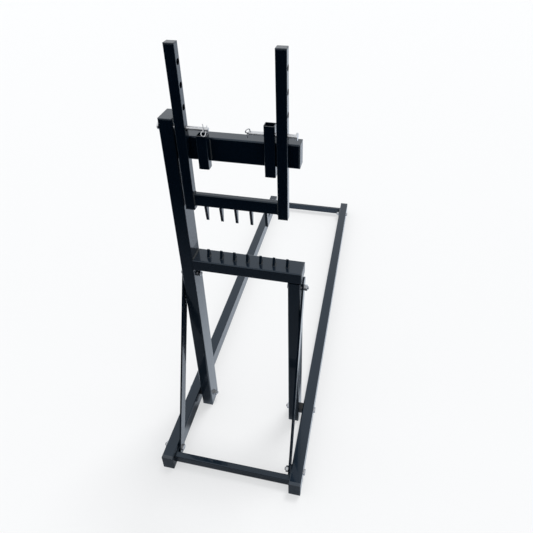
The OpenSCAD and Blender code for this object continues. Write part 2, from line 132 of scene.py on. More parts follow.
# Clip wire: the ring's sweep, counts, shares, and lengths in metres
RING_SWEEP = math.radians(250)
RING_STEPS = 40
RING_LEAD = 0.4
BEND_STEPS = 16
TAIL_STEPS = 12
TAIL_SHARES = (0.4, 0.6, 0.8, 1.0)
TAIL_FLARE = 0.003
LEG_STATION = 0.3
WIRE_SIDES = 16
WIRE_END = 0.75
WIRE_CLEARANCE = 0.0003


# Properties that a user would change


class StandFinishes(bpy.types.PropertyGroup):
    """Colours and gloss of the stand's finishes"""

    coat_colour: FloatVectorProperty(
        name="Coat colour", description="Black powder coat", subtype="COLOR",
        size=4, min=0, max=1, default=(0.0010, 0.0037, 0.0082, 1),
    )
    coat_lift: FloatVectorProperty(
        name="Coat lift", description="Paler tone in the coat's slow clouding", subtype="COLOR",
        size=4, min=0, max=1, default=(0.0017, 0.0051, 0.0106, 1),
    )
    coat_sheen: FloatVectorProperty(
        name="Coat sheen", description="Tint of what the coat mirrors head on", subtype="COLOR",
        size=4, min=0, max=1, default=(0.46, 0.72, 1.0, 1),
    )
    coat_roughness: FloatProperty(
        name="Coat roughness", description="Gloss of the powder coat", subtype="FACTOR",
        min=0, max=1, default=0.2,
    )
    gloss_weight: FloatProperty(
        name="Gloss weight", description="Share of the smooth skin on the powder coat", subtype="FACTOR",
        min=0, max=1, default=0.6,
    )
    gloss_roughness: FloatProperty(
        name="Gloss roughness", description="Gloss of the smooth skin", subtype="FACTOR",
        min=0, max=1, default=0.04,
    )
    peel_depth: FloatProperty(
        name="Orange peel", description="Depth of the coat's fine texture", unit="LENGTH",
        min=0, default=0.00004,
    )
    plastic_colour: FloatVectorProperty(
        name="Cap colour", description="Moulded plastic of the end caps", subtype="COLOR",
        size=4, min=0, max=1, default=(0.0210, 0.0270, 0.0350, 1),
    )
    plastic_roughness: FloatProperty(
        name="Cap roughness", description="Gloss of the end caps and spacers", subtype="FACTOR",
        min=0, max=1, default=0.14,
    )
    # Darker copy of the cap plastic: painted shade for the spacers in the gap between leg and rail
    shaded_spacer_colour: FloatVectorProperty(
        name="Spacer colour", description="Black plastic of the foot spacers", subtype="COLOR",
        size=4, min=0, max=1, default=(0.0030, 0.0034, 0.0042, 1),
    )
    zinc_colour: FloatVectorProperty(
        name="Zinc colour", description="Bright zinc plate of the pins and clips", subtype="COLOR",
        size=4, min=0, max=1, default=(0.76, 0.77, 0.79, 1),
    )
    zinc_roughness: FloatProperty(
        name="Zinc roughness", description="Gloss of the pins and clips", subtype="FACTOR",
        min=0, max=1, default=0.3,
    )
    # Darker copy of the pins' zinc: painted shade for the dark reflections on the bolts, nuts and washers
    shaded_bolt_colour: FloatVectorProperty(
        name="Bolt colour", description="Zinc of the bolts, nuts and washers", subtype="COLOR",
        size=4, min=0, max=1, default=(0.54, 0.55, 0.57, 1),
    )
    bolt_roughness: FloatProperty(
        name="Bolt roughness", description="Gloss of the bolts, nuts and washers", subtype="FACTOR",
        min=0, max=1, default=0.12,
    )


class StandWelds(bpy.types.PropertyGroup):
    """Sizes of the fillet welds"""

    frame_leg: FloatProperty(
        name="Frame weld", description="Leg length of the frame's fillet welds", unit="LENGTH",
        min=0.001, default=0.0042,
    )
    jaw_leg: FloatProperty(
        name="Jaw weld", description="Leg length of the jaw's fillet welds", unit="LENGTH",
        min=0.001, default=0.0024,
    )
    tooth_leg: FloatProperty(
        name="Tooth weld", description="Leg length of the welds beside the teeth", unit="LENGTH",
        min=0.001, default=0.0022,
    )
    ripple_pitch: FloatProperty(
        name="Ripple pitch", description="Spacing of the ripples in a weld", unit="LENGTH",
        min=0.001, default=0.0034,
    )


class StandHardware(bpy.types.PropertyGroup):
    """Sizes of the bolts, nuts and washers"""

    thread_pitch: FloatProperty(
        name="Thread pitch", description="Pitch of the bolt thread", unit="LENGTH",
        min=0.0005, default=0.0015,
    )
    thread_depth: FloatProperty(
        name="Thread depth", description="Depth of the bolt thread", unit="LENGTH",
        min=0.0001, default=0.0008,
    )
    thread_length: FloatProperty(
        name="Thread length", description="Threaded length at a bolt's end", unit="LENGTH",
        min=0.005, default=0.026,
    )
    sides: IntProperty(
        name="Sides", description="Points round a bolt head, nut or washer, a multiple of six",
        min=12, default=48,
    )


class StandClips(bpy.types.PropertyGroup):
    """The bent wire of the retaining clips"""

    wire_diameter: FloatProperty(
        name="Wire", description="Diameter of the clip wire", unit="LENGTH", min=0.0005, default=0.0028,
    )
    ring_radius: FloatProperty(
        name="Ring radius", description="Radius of the clip's ring", unit="LENGTH", min=0.002, default=0.0062,
    )
    ring_place: FloatProperty(
        name="Ring place", description="From the pin's axis to the ring's middle", unit="LENGTH",
        min=0.005, default=0.015,
    )
    leg_length: FloatProperty(
        name="Leg", description="Straight leg beyond the pin's axis", unit="LENGTH", min=0.005, default=0.010,
    )
    hole_inset: FloatProperty(
        name="Hole inset", description="From a pin's end to its clip hole", unit="LENGTH",
        min=0.001, default=0.006,
    )
    pin_diameter: FloatProperty(
        name="Pin", description="Diameter of the pins that the clips hold", unit="LENGTH",
        min=0.004, default=0.011,
    )
    left_turn: FloatProperty(
        name="Left turn", description="Turn of the left clip about its pin", subtype="ANGLE",
        default=math.radians(135),
    )
    right_turn: FloatProperty(
        name="Right turn", description="Turn of the right clip about its pin", subtype="ANGLE",
        default=math.radians(30),
    )
    twist: FloatProperty(
        name="Twist", description="Twist of a clip about its own leg", subtype="ANGLE",
        default=math.radians(45),
    )


class StandStudio(bpy.types.PropertyGroup):
    """Camera, floor and light"""

    camera_place: FloatVectorProperty(
        name="Camera place", description="Where the camera stands", subtype="TRANSLATION", unit="LENGTH",
        default=(0.3610, -1.6110, 1.6944),
    )
    yaw: FloatProperty(
        name="Yaw", description="Turn of the camera from +Y towards -X", subtype="ANGLE",
        default=math.radians(11.955),
    )
    pitch: FloatProperty(
        name="Pitch", description="Tilt of the camera below the horizon", subtype="ANGLE",
        default=math.radians(32.261),
    )
    roll: FloatProperty(
        name="Roll", description="Roll of the camera", subtype="ANGLE", default=math.radians(-0.579),
    )
    focal_px: FloatProperty(
        name="Focal length", description="Focal length in pixels of the picture", min=50, default=477.642,
    )
    axis_x_px: FloatProperty(
        name="Axis across", description="Column where the lens axis meets the picture", default=283.883,
    )
    axis_y_px: FloatProperty(
        name="Axis down", description="Row where the lens axis meets the picture", default=188.847,
    )
    floor_colour: FloatVectorProperty(
        name="Floor colour", description="Pale floor", subtype="COLOR", size=4, min=0, max=1,
        default=(0.3, 0.3, 0.3, 1),
    )
    floor_glow: FloatProperty(
        name="Floor glow", description="Light that the floor gives off, which softens the shadows", min=0,
        default=0.535,
    )
    surround: FloatProperty(
        name="Surround", description="Brightness of the white surround behind the stand", min=0, default=0.98,
    )
    front_shade: FloatProperty(
        name="Front shade", description="Brightness of the surround in front of the stand", min=0,
        default=0.95,
    )
    overhead: FloatProperty(
        name="Overhead", description="Strength of the overhead light", min=0, default=1.6,
    )
    overhead_spread: FloatProperty(
        name="Overhead spread", description="Angle that the overhead light fills", subtype="ANGLE",
        default=math.radians(16),
    )


GROUPS = {
    "stand_finishes": StandFinishes,
    "stand_welds": StandWelds,
    "stand_hardware": StandHardware,
    "stand_clips": StandClips,
    "stand_studio": StandStudio,
}


def choices(name):
    """The current values of a property group."""
    return getattr(bpy.context.scene, name)


# Shader maths


class Value:
    """A socket of a finish. Arithmetic on it adds Math nodes."""

    def __init__(self, finish, socket):
        self.finish = finish
        self.socket = socket

    def maths(self, operation, first, second):
        return self.finish.node("ShaderNodeMath", {"operation": operation}, {0: first, 1: second})

    def __add__(self, other):
        return self.maths("ADD", self, other)

    def __radd__(self, other):
        return self.maths("ADD", other, self)

    def __sub__(self, other):
        return self.maths("SUBTRACT", self, other)

    def __rsub__(self, other):
        return self.maths("SUBTRACT", other, self)

    def __mul__(self, other):
        return self.maths("MULTIPLY", self, other)

    def __rmul__(self, other):
        return self.maths("MULTIPLY", other, self)


class Finish:
    """The node tree of a material or of the surround."""

    def __init__(self, owner):
        self.owner = owner
        owner.use_nodes = True
        self.tree = owner.node_tree

    @classmethod
    def named(cls, name):
        return cls(bpy.data.materials.new(name))

    def feed(self, socket, value):
        if isinstance(value, Value):
            self.tree.links.new(value.socket, socket)
        else:
            socket.default_value = value

    def node(self, kind, settings=None, inputs=None, output=0):
        """Adds a node: its settings first, then the values or links of its sockets."""
        made = self.tree.nodes.new(kind)
        for name, setting in (settings or {}).items():
            setattr(made, name, setting)
        for key, value in (inputs or {}).items():
            self.feed(made.inputs[key], value)
        return Value(self, made.outputs[output])

    def place(self):
        return self.node("ShaderNodeTexCoord", output="Object")

    def part_of(self, vector, axis):
        return self.node("ShaderNodeSeparateXYZ", None, {0: vector}, axis)

    def noise(self, vector, scale, detail):
        return self.node("ShaderNodeTexNoise", None, {"Vector": vector, "Scale": scale, "Detail": detail})

    def stretched(self, vector, scale):
        return self.node("ShaderNodeVectorMath", {"operation": "MULTIPLY"}, {0: vector, 1: scale})

    def mask(self, value, low, high):
        """A soft step from 0 at low to 1 at high."""
        return self.node(
            "ShaderNodeMapRange", {"interpolation_type": "SMOOTHSTEP"},
            {"Value": value, "From Min": low, "From Max": high},
        )

    def band(self, value, edges):
        """Full between two soft edges."""
        first, second = edges
        return self.mask(value, *first) * self.mask(value, *second)

    def mix(self, factor, first, second):
        return self.node("ShaderNodeMix", {"data_type": "RGBA"}, {0: factor, 6: first, 7: second}, 2)

    def bump(self, height, depth, strength):
        return self.node(
            "ShaderNodeBump", None, {"Height": height, "Distance": depth, "Strength": strength}
        )

    def surface(self, **inputs):
        """Feeds the main shader and returns the material."""
        for name, value in inputs.items():
            self.feed(self.tree.nodes["Principled BSDF"].inputs[name.replace("_", " ")], value)
        return self.owner


def scaled(colour, factor):
    """A colour made darker or paler by a factor."""
    return tuple(min(1.0, factor * c) for c in colour[:3]) + (1,)


# Finishes


def powder_coat():
    """Black coat with slow clouding, orange peel and fine pale specks."""
    look = choices("stand_finishes")
    speck_share = 0.35
    speck_lift = 2.2
    speck_roughness = 0.12
    cloud_roughness = 0.04
    grain_share = 0.25
    finish = Finish.named("powder_coat")
    place = finish.place()
    cloud = finish.noise(place, scale=7.0, detail=3.0)
    peel = finish.noise(place, scale=420.0, detail=2.0)
    grain = finish.noise(place, scale=1500.0, detail=1.0)
    speck = finish.mask(grain, low=0.66, high=0.74)
    tone = finish.mix(cloud, tuple(look.coat_colour), tuple(look.coat_lift))
    base_roughness = look.coat_roughness - cloud_roughness / 2
    return finish.surface(
        Base_Color=finish.mix(speck * speck_share, tone, scaled(look.coat_lift, speck_lift)),
        Roughness=base_roughness + cloud * cloud_roughness + speck * speck_roughness,
        Normal=finish.bump(peel + grain * grain_share, look.peel_depth, strength=0.35),
        Specular_IOR_Level=0.34,
        Specular_Tint=tuple(look.coat_sheen),
        Coat_Weight=look.gloss_weight,
        Coat_Roughness=look.gloss_roughness,
    )


def moulded(name, colour, roughness):
    """Moulded plastic with a fine grain."""
    cloud_lift = 1.7
    grain_roughness = 0.14
    finish = Finish.named(name)
    place = finish.place()
    grain = finish.noise(place, scale=1100.0, detail=3.0)
    cloud = finish.noise(place, scale=22.0, detail=2.0)
    return finish.surface(
        Base_Color=finish.mix(cloud, tuple(colour), scaled(colour, cloud_lift)),
        Roughness=roughness + grain * grain_roughness,
        Normal=finish.bump(grain, depth=0.00006, strength=0.4),
        Specular_IOR_Level=0.45,
    )


def plated(name, colour, roughness):
    """Zinc plate, a little cloudy and brushed."""
    dull_share = 0.7
    dull_tone = 0.68
    cloud_roughness = 0.12
    brush_roughness = 0.06
    brush_stretch = (1.0, 9.0, 9.0)
    finish = Finish.named(name)
    place = finish.place()
    cloud = finish.noise(place, scale=160.0, detail=3.0)
    brushed = finish.noise(finish.stretched(place, brush_stretch), scale=260.0, detail=2.0)
    return finish.surface(
        Base_Color=finish.mix(cloud * dull_share, tuple(colour), scaled(colour, dull_tone)),
        Roughness=roughness + cloud * cloud_roughness + brushed * brush_roughness,
        Normal=finish.bump(brushed, depth=0.00008, strength=0.25),
        Metallic=1.0,
    )


def pale_floor():
    """A matt, faintly clouded floor that glows a little."""
    look = choices("stand_studio")
    cloud_lift = 1.02
    roughness = 0.62
    cloud_roughness = 0.08
    finish = Finish.named("pale_floor")
    cloud = finish.noise(finish.place(), scale=0.6, detail=2.0)
    return finish.surface(
        Base_Color=finish.mix(cloud, tuple(look.floor_colour), scaled(look.floor_colour, cloud_lift)),
        Roughness=roughness + cloud * cloud_roughness,
        Specular_IOR_Level=0.2,
        Emission_Color=FLOOR_GLOW_TINT,
        Emission_Strength=look.floor_glow,
    )


def shade_card():
    """A hidden sheet of painted shade over the floor, seen only in reflections and light: black in front of
    the uprights, denser further off, and open beside the rails.

    Behind the uprights and where it is open it only paints a cool tint into the reflections, and from below
    it is clear.
    """
    finish = Finish.named("shade_card")
    place = finish.place()
    across = finish.part_of(place, "X")
    along = finish.part_of(place, "Y")
    behind = finish.mask(along, *CARD_BEHIND)
    far = finish.mask(along, *CARD_FAR)
    # Painted shade beside the main post's foot, kept dark inside the open left strip
    by_post = finish.mask(across, *CARD_POST_SIDE) * finish.mask(along, *CARD_POST_FRONT)
    left_strip = finish.band(across, CARD_LEFT_STRIP) * finish.mask(along, *CARD_LEFT_FRONT)
    left_open = left_strip * (1.0 - by_post)
    right_open = finish.band(across, CARD_RIGHT_STRIP) * finish.mask(along, *CARD_RIGHT_FRONT)
    below = finish.node("ShaderNodeNewGeometry", output="Backfacing")
    shade = (1.0 - behind) * (1.0 - left_open) * (1.0 - right_open)
    # How much painted shade the card lays down: none behind the uprights, none from below
    density = shade * (CARD_NEAR_DENSITY + far * CARD_ADDED_DENSITY) * (1.0 - below)
    # Painted cool tint that the card lends to reflections and light passing through it
    cool = finish.node("ShaderNodeBsdfTransparent", None, {"Color": CARD_PAINTED_REFLECTION_TINT})
    clear = finish.node("ShaderNodeBsdfTransparent")
    film = finish.node("ShaderNodeMixShader", None, {0: below, 1: cool, 2: clear})
    black = finish.node("ShaderNodeBsdfDiffuse", None, {"Color": (0.0, 0.0, 0.0, 1.0)})
    mixed = finish.node("ShaderNodeMixShader", None, {0: density, 1: film, 2: black})
    finish.feed(finish.tree.nodes["Material Output"].inputs["Surface"], mixed)
    return finish.owner


def surround():
    """A white surround, a touch darker in front of the stand than behind it."""
    look = choices("stand_studio")
    finish = Finish(bpy.data.worlds.new("white_surround"))
    place = finish.node("ShaderNodeTexCoord", output="Generated")
    open_side = finish.mask(finish.part_of(place, "Y"), *SURROUND_EDGE)
    background = finish.tree.nodes["Background"]
    finish.feed(background.inputs["Color"], SURROUND_TINT)
    strength = look.front_shade + open_side * (look.surround - look.front_shade)
    finish.feed(background.inputs["Strength"], strength)
    return finish.owner


def finish_named(name):
    material = bpy.data.materials.get(name)
    if material is None:
        raise RuntimeError("the finishes come before the pieces: " + name)
    return material


# Mesh helpers


def solids(node):
    """Low corner, high corner and points of a CAD node's separate solids, in order of place."""
    digits = 5
    mesh = frame["nodes"][node].data
    keys = [tuple(round(c, digits) for c in v.co) for v in mesh.vertices]
    leader = {key: key for key in keys}

    def head_of(key):
        while leader[key] != key:
            leader[key] = leader[leader[key]]
            key = leader[key]
        return key

    for polygon in mesh.polygons:
        first = head_of(keys[polygon.vertices[0]])
        for index in polygon.vertices[1:]:
            leader[head_of(keys[index])] = first
    groups = {}
    for key in keys:
        groups.setdefault(head_of(key), []).append(key)
    boxes = [
        (Vector([min(c) for c in zip(*points)]), Vector([max(c) for c in zip(*points)]), points)
        for points in groups.values()
    ]
    return sorted(boxes, key=lambda box: tuple(box[0]))


def skin(bm, rings, loop=False):
    """Faces between rings of equal count, closed at both ends or round on themselves."""
    rows = [[bm.verts.new(point) for point in ring] for ring in rings]
    count = len(rows[0])
    last = len(rows) if loop else len(rows) - 1
    for i in range(last):
        row = rows[i]
        after = rows[(i + 1) % len(rows)]
        for k in range(count):
            m = (k + 1) % count
            bm.faces.new((row[k], row[m], after[m], after[k]))
    if not loop:
        bm.faces.new(reversed(rows[0]))
        bm.faces.new(rows[-1])


def piece(name, bm, body, finish, crease=35.0):
    """Turns a bmesh into a smooth shaded piece that rides on a body. Edges past the crease stay sharp."""
    bmesh.ops.recalc_face_normals(bm, faces=bm.faces)
    for face in bm.faces:
        face.smooth = True
    for edge in bm.edges:
        edge.smooth = edge.is_manifold and edge.calc_face_angle(0) < math.radians(crease)
    mesh = bpy.data.meshes.new(name)
    bm.to_mesh(mesh)
    bm.free()
    mesh.materials.append(finish_named(finish))
    made = bpy.data.objects.new(name, mesh)
    bpy.context.scene.collection.objects.link(made)
    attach(made, body)
    return made


# Welds


def rounded_path(centre, across, up, width, height, radius, step):
    """Stations round a rounded rectangle: a point and its outward direction."""
    stations = []
    corners = [(1, 1, 0), (-1, 1, 90), (-1, -1, 180), (1, -1, 270)]
    for index, (sx, sy, start) in enumerate(corners):
        middle = centre + across * sx * (width / 2 - radius) + up * sy * (height / 2 - radius)
        for k in range(ARC_STEPS + 1):
            angle = math.radians(start + 90 / ARC_STEPS * k)
            out = across * math.cos(angle) + up * math.sin(angle)
            stations.append((middle + out * radius, out))
        side = width if index % 2 == 0 else height
        run = side - 2 * radius
        begin, out = stations[-1]
        way = Matrix.Rotation(math.pi / 2, 3, across.cross(up)) @ out
        count = max(2, int(run / step))
        for k in range(1, count):
            stations.append((begin + way * run * k / count, out))
    return stations


def weld(bm, stations, leg, pitch, closed=False):
    """A rippled fillet. Each station is a corner point and the two directions away from the corner."""
    sink = leg * WELD_SINK
    travel = 0.0
    lengths = []
    for i, station in enumerate(stations):
        if i:
            travel += (station[0] - stations[i - 1][0]).length
        lengths.append(travel)
    rings = []
    for i, (corner, first, second) in enumerate(stations):
        ripple = abs(math.sin(math.pi * lengths[i] / pitch))
        reach = leg * (1.0 - WELD_RIPPLE + WELD_RIPPLE * ripple)
        if not closed:
            end = min(lengths[i], travel - lengths[i]) / (WELD_TAPER * leg)
            reach *= WELD_END + (1.0 - WELD_END) * math.sqrt(min(1.0, end))
        bulge = (first + second) * reach * (WELD_BULGE + WELD_RIPPLE_BULGE * ripple)
        ring = [corner - (first + second) * sink, corner + first * reach - second * sink]
        for along_first, along_second, swell in WELD_SECTION:
            ring.append(corner + first * reach * along_first + second * reach * along_second + bulge * swell)
        ring.append(corner + second * reach - first * sink)
        rings.append(ring)
    skin(bm, rings, loop=closed)


def straight(start, end, first, second, pitch):
    """Stations of a straight weld."""
    count = max(RIPPLE_STEPS, int((end - start).length / (pitch / RIPPLE_STEPS)))
    return [(start.lerp(end, k / count), first, second) for k in range(count + 1)]


def run_along(x, z, low, high, corner, first, second):
    """A weld's run along Y over a box, clear of its corners, with its two directions."""
    return Vector((x, low.y + corner, z)), Vector((x, high.y - corner, z)), first, second


def run_up(x, y, low, high, corner, first, second):
    """A weld's run up Z over a box, clear of its corners, with its two directions."""
    return Vector((x, y, low.z + corner)), Vector((x, y, high.z - corner)), first, second


def beam_end(low, high):
    """Runs over and under a beam's left end."""
    sides = ((high.z, Z_AXIS), (low.z, -Z_AXIS))
    return [run_along(low.x, z, low, high, TUBE_CORNER, X_AXIS, way) for z, way in sides]


def weld_piece(name, body, runs, leg):
    """One piece with a straight weld for each run."""
    pitch = choices("stand_welds").ripple_pitch
    bm = bmesh.new()
    for start, end, first, second in runs:
        weld(bm, straight(start, end, first, second, pitch), leg, pitch)
    piece(name, bm, body, "powder_coat")


# Hardware


def turned(origin, axis, radius, offset, sides):
    """A ring about an axis along X. Radius and offset are numbers or functions of the angle from up."""
    side = axis.cross(Z_AXIS)
    ring = []
    for k in range(sides):
        angle = 2 * math.pi * k / sides
        r = radius(angle) if callable(radius) else radius
        t = offset(angle) if callable(offset) else offset
        ring.append(origin + axis * t + (Z_AXIS * math.cos(angle) + side * math.sin(angle)) * r)
    return ring


def hexagon(flats):
    """Radius of a hexagon at an angle, with a corner at angle 0."""
    sixth = math.pi / 3
    return lambda angle: flats / 2 / math.cos(angle % sixth - sixth / 2)


def radii(points, middle):
    """Distances of points from the axis along X through a middle."""
    return [math.hypot(p[1] - middle.y, p[2] - middle.z) for p in points]


def bolt(bm, box, look):
    """A hexagon bolt in place of a CAD solid, with its head at the end that the solid has it."""
    near_flats = 0.45
    same_place = 1e-4
    on_axis = 0.001
    low, high, points = box
    middle = (low + high) / 2
    flats = high.y - low.y
    wide = [p[0] for p in points if abs(p[1] - middle.y) > flats * near_flats]
    left_head = abs(min(wide) - low.x) < same_place
    axis = X_AXIS if left_head else -X_AXIS
    start = Vector((low.x if left_head else high.x, middle.y, middle.z))
    head = max(wide) - min(wide)
    bolt_head(bm, start, axis, flats, head, look.sides)
    radius = min(r for r in radii(points, middle) if r > on_axis)
    bolt_shank(bm, start, axis, radius, head, high.x - low.x, look)


def bolt_head(bm, start, axis, flats, height, sides):
    """A hexagon head with a chamfered outer face."""
    six = hexagon(flats)
    rim = flats / 2 * HEX_RIM
    skin(bm, [
        turned(start, axis, rim * HEAD_FACE, 0.0, sides),
        turned(start, axis, rim, HEAD_DISH, sides),
        turned(start, axis, six, lambda a: HEAD_DISH + (six(a) - rim) * HEX_SLOPE, sides),
        turned(start, axis, six, height - HEAD_SEAT_HEIGHT, sides),
        turned(start, axis, flats / 2 * HEAD_SEAT, height, sides),
    ])


def bolt_shank(bm, start, axis, radius, head, total, look):
    """A plain shank that starts inside the head and ends in a cut thread."""
    crest = radius - SHANK_CLEARANCE
    pitch = look.thread_pitch
    depth = look.thread_depth

    def thread(t):
        def at(angle):
            share = (t / pitch - angle / (2 * math.pi)) % 1.0
            rise = min(1.0, max(0.0, THREAD_FLANK / 2 - THREAD_FLANK * abs(share - 0.5)))
            fade = min(1.0, max(0.0, (total - t) / (pitch * THREAD_RUN_OUT)))
            return crest - depth * (1.0 - rise * fade)
        return at

    begin = max(head, total - look.thread_length)
    rows = int((total - begin) / (pitch / THREAD_STEPS))
    rings = [
        turned(start, axis, crest, head - SHANK_SINK, SHANK_SIDES),
        turned(start, axis, crest, begin - THREAD_LEAD, SHANK_SIDES),
    ]
    for k in range(rows + 1):
        t = begin + (total - THREAD_END_CHAMFER - begin) * k / rows
        rings.append(turned(start, axis, thread(t), t, SHANK_SIDES))
    rings.append(turned(start, axis, crest - depth * THREAD_END, total, SHANK_SIDES))
    skin(bm, rings)


def nut(bm, box, look):
    """A hexagon nut with both faces and its bore chamfered."""
    low, high, points = box
    middle = (low + high) / 2
    start = Vector((low.x, middle.y, middle.z))
    height = high.x - low.x
    flats = high.y - low.y
    bore = min(radii(points, middle))
    mouth = bore + NUT_BORE_CHAMFER
    six = hexagon(flats)
    rim = flats / 2 * HEX_RIM
    profile = (
        (bore, NUT_BORE_CHAMFER),
        (mouth, 0.0),
        (rim, 0.0),
        (six, lambda a: (six(a) - rim) * HEX_SLOPE),
        (six, lambda a: height - (six(a) - rim) * HEX_SLOPE),
        (rim, height),
        (mouth, height),
        (bore, height - NUT_BORE_CHAMFER),
    )
    skin(bm, [turned(start, X_AXIS, r, t, look.sides) for r, t in profile], loop=True)


def washer(bm, box, look):
    """A flat washer with rolled edges."""
    low, high, points = box
    middle = (low + high) / 2
    start = Vector((low.x, middle.y, middle.z))
    thick = high.x - low.x
    outer = (high.z - low.z) / 2
    bore = min(radii(points, middle))
    edge = thick * WASHER_ROLL
    profile = (
        (bore, edge),
        (bore + edge, 0.0),
        (outer - edge, 0.0),
        (outer, edge),
        (outer, thick - edge),
        (outer - edge, thick),
        (bore + edge, thick),
        (bore, thick - edge),
    )
    skin(bm, [turned(start, X_AXIS, r, t, look.sides) for r, t in profile], loop=True)


HARDWARE = (
    ("lower_brace_bolts", "threaded_lower_brace_bolts", bolt),
    ("rear_tab_bolts", "threaded_rear_tab_bolts", bolt),
    ("foot_bolts", "threaded_foot_bolts", bolt),
    ("upper_brace_bolts", "threaded_upper_brace_bolts", bolt),
    ("bolt_nuts", "chamfered_nuts", nut),
    ("bolt_washers", "rolled_washers", washer),
)


# Clips


def bezier(points, t):
    """A point on a cubic curve."""
    a, b, c, d = points
    return a * (1 - t) ** 3 + b * 3 * t * (1 - t) ** 2 + c * 3 * t * t * (1 - t) + d * t ** 3


def clip_path(look):
    """The wire in its own plane: away from the leg, along the leg, from the pin's axis."""
    radius = look.ring_radius
    leg = look.leg_length
    pin = look.pin_diameter
    path = [Vector((0, -leg)), Vector((0, -leg * LEG_STATION)), Vector((0, look.ring_place * RING_LEAD))]
    for k in range(RING_STEPS + 1):
        angle = RING_SWEEP * k / RING_STEPS
        path.append(Vector((radius * (1 - math.cos(angle)), look.ring_place + radius * math.sin(angle))))

    # From the ring round to the pin's side
    start = path[-1]
    heading = Vector((math.sin(RING_SWEEP), math.cos(RING_SWEEP)))
    hug = (pin / 2 + look.wire_diameter / 2 + WIRE_CLEARANCE) / math.cos(look.twist)
    beside = Vector((hug, pin / 5))
    above = Vector((hug, pin / 2))
    bend = (start, start + heading * radius / 2, above, beside)
    path += [bezier(bend, k / BEND_STEPS) for k in range(1, BEND_STEPS + 1)]

    # Past the pin and out to the flared end
    flares = (0.0, 0.0, TAIL_FLARE / 2, TAIL_FLARE)
    tail = [Vector((hug + flare, -leg * share)) for flare, share in zip(flares, TAIL_SHARES)]
    path += [bezier(tail, k / TAIL_STEPS) for k in range(TAIL_STEPS + 1)]
    return path


def clip(name, node, pin, body, turn, twist, at_high_end):
    """A retaining clip bent from round wire, in place of its CAD solid."""
    look = choices("stand_clips")
    low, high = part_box(pin)
    x = high.x - look.hole_inset if at_high_end else low.x + look.hole_inset
    middle = (low + high) / 2
    place = Matrix.Translation((x, middle.y, middle.z))
    place = place @ Matrix.Rotation(turn, 4, "X") @ Matrix.Rotation(twist, 4, "Z")
    path = clip_path(look)
    last = len(path) - 1
    rings = []
    for i, point in enumerate(path):
        heading = (path[min(i + 1, last)] - path[max(i - 1, 0)]).normalized()
        radius = look.wire_diameter / 2 * (WIRE_END if i in (0, last) else 1.0)
        ring = []
        for k in range(WIRE_SIDES):
            angle = 2 * math.pi * k / WIRE_SIDES
            across = radius * math.cos(angle)
            deep = radius * math.sin(angle)
            ring.append(place @ Vector((
                -(point.x - heading.y * across), deep, point.y + heading.x * across,
            )))
        rings.append(ring)
    bm = bmesh.new()
    skin(bm, rings)
    made = piece(name, bm, body, "zinc_plate", crease=50.0)
    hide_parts(node)


# Stage


def lay_sheet(name, height, finish, seen):
    """A level sheet under the stand, which the camera sees or not."""
    half = FLOOR_HALF
    corners = [(-half, -half, height), (half, -half, height), (half, half, height), (-half, half, height)]
    mesh = bpy.data.meshes.new(name)
    mesh.from_pydata(corners, [], [(0, 1, 2, 3)])
    mesh.materials.append(finish)
    sheet = bpy.data.objects.new(name, mesh)
    sheet.visible_camera = seen
    bpy.context.scene.collection.objects.link(sheet)


def hang_overhead(look):
    """One wide light from above, which leaves no highlight of its own."""
    lamp = bpy.data.lights.new("overhead", "SUN")
    lamp.energy = look.overhead
    lamp.angle = look.overhead_spread
    overhead = bpy.data.objects.new("overhead", lamp)
    overhead.rotation_euler = OVERHEAD_HEADING.to_track_quat("-Z", "Y").to_euler()
    overhead.visible_glossy = False
    bpy.context.scene.collection.objects.link(overhead)


def stand_camera(look):
    """The camera at the photograph's viewing angle."""
    forward = Vector((
        -math.sin(look.yaw) * math.cos(look.pitch),
        math.cos(look.yaw) * math.cos(look.pitch),
        -math.sin(look.pitch),
    ))
    right = Vector((math.cos(look.yaw), math.sin(look.yaw), 0.0))
    up = right.cross(forward)
    rolled_right = right * math.cos(look.roll) + up * math.sin(look.roll)
    rolled_up = up * math.cos(look.roll) - right * math.sin(look.roll)
    data = bpy.data.cameras.new("photo_camera")
    data.sensor_width = SENSOR_MM
    data.lens = look.focal_px * SENSOR_MM / PHOTO_SIDE
    data.shift_x = 0.5 - look.axis_x_px / PHOTO_SIDE
    data.shift_y = look.axis_y_px / PHOTO_SIDE - 0.5
    data.clip_end = VIEW_DEPTH
    camera = bpy.data.objects.new("photo_camera", data)
    turn = Matrix((rolled_right, rolled_up, -forward)).transposed()
    camera.matrix_world = Matrix.Translation(look.camera_place) @ turn.to_4x4()
    bpy.context.scene.collection.objects.link(camera)
    bpy.context.scene.camera = camera


# Operators


class STAND_OT_stage(bpy.types.Operator):
    """Lay the pale floor and the shade card, hang the overhead light and stand the camera"""

    bl_idname = "saw_stand.stage"
    bl_label = "Studio and camera"

    def execute(self, context):
        look = choices("stand_studio")
        lay_sheet("floor", 0.0, pale_floor(), seen=True)
        lay_sheet("shade_card", CARD_HEIGHT, shade_card(), seen=False)
        context.scene.world = surround()
        hang_overhead(look)
        stand_camera(look)
        context.scene.view_settings.view_transform = "Standard"
        return {"FINISHED"}


class STAND_OT_finishes(bpy.types.Operator):
    """Make the finishes and put them on the CAD nodes"""

    bl_idname = "saw_stand.finishes"
    bl_label = "Finishes"

    def execute(self, context):
        look = choices("stand_finishes")
        made = {
            "powder_coat": powder_coat(),
            "cap_plastic": moulded("cap_plastic", look.plastic_colour, look.plastic_roughness),
            "zinc": plated("zinc_plate", look.zinc_colour, look.zinc_roughness),
        }
        # The foot spacers get a darker copy of the cap plastic as painted shade
        special = {"leg_spacers": moulded("spacer_plastic", look.shaded_spacer_colour, look.plastic_roughness)}
        # The bolts, nuts and washers get a darker copy of the zinc as painted shade
        plated("bolt_zinc", look.shaded_bolt_colour, look.bolt_roughness)
        for part in frame["record"]["subparts"]:
            node = frame["nodes"][part["node"]]
            finish = special.get(part["node"], made[part["material_slot"]])
            if not node.material_slots:
                node.data.materials.append(finish)
            for slot in node.material_slots:
                slot.material = finish
        return {"FINISHED"}


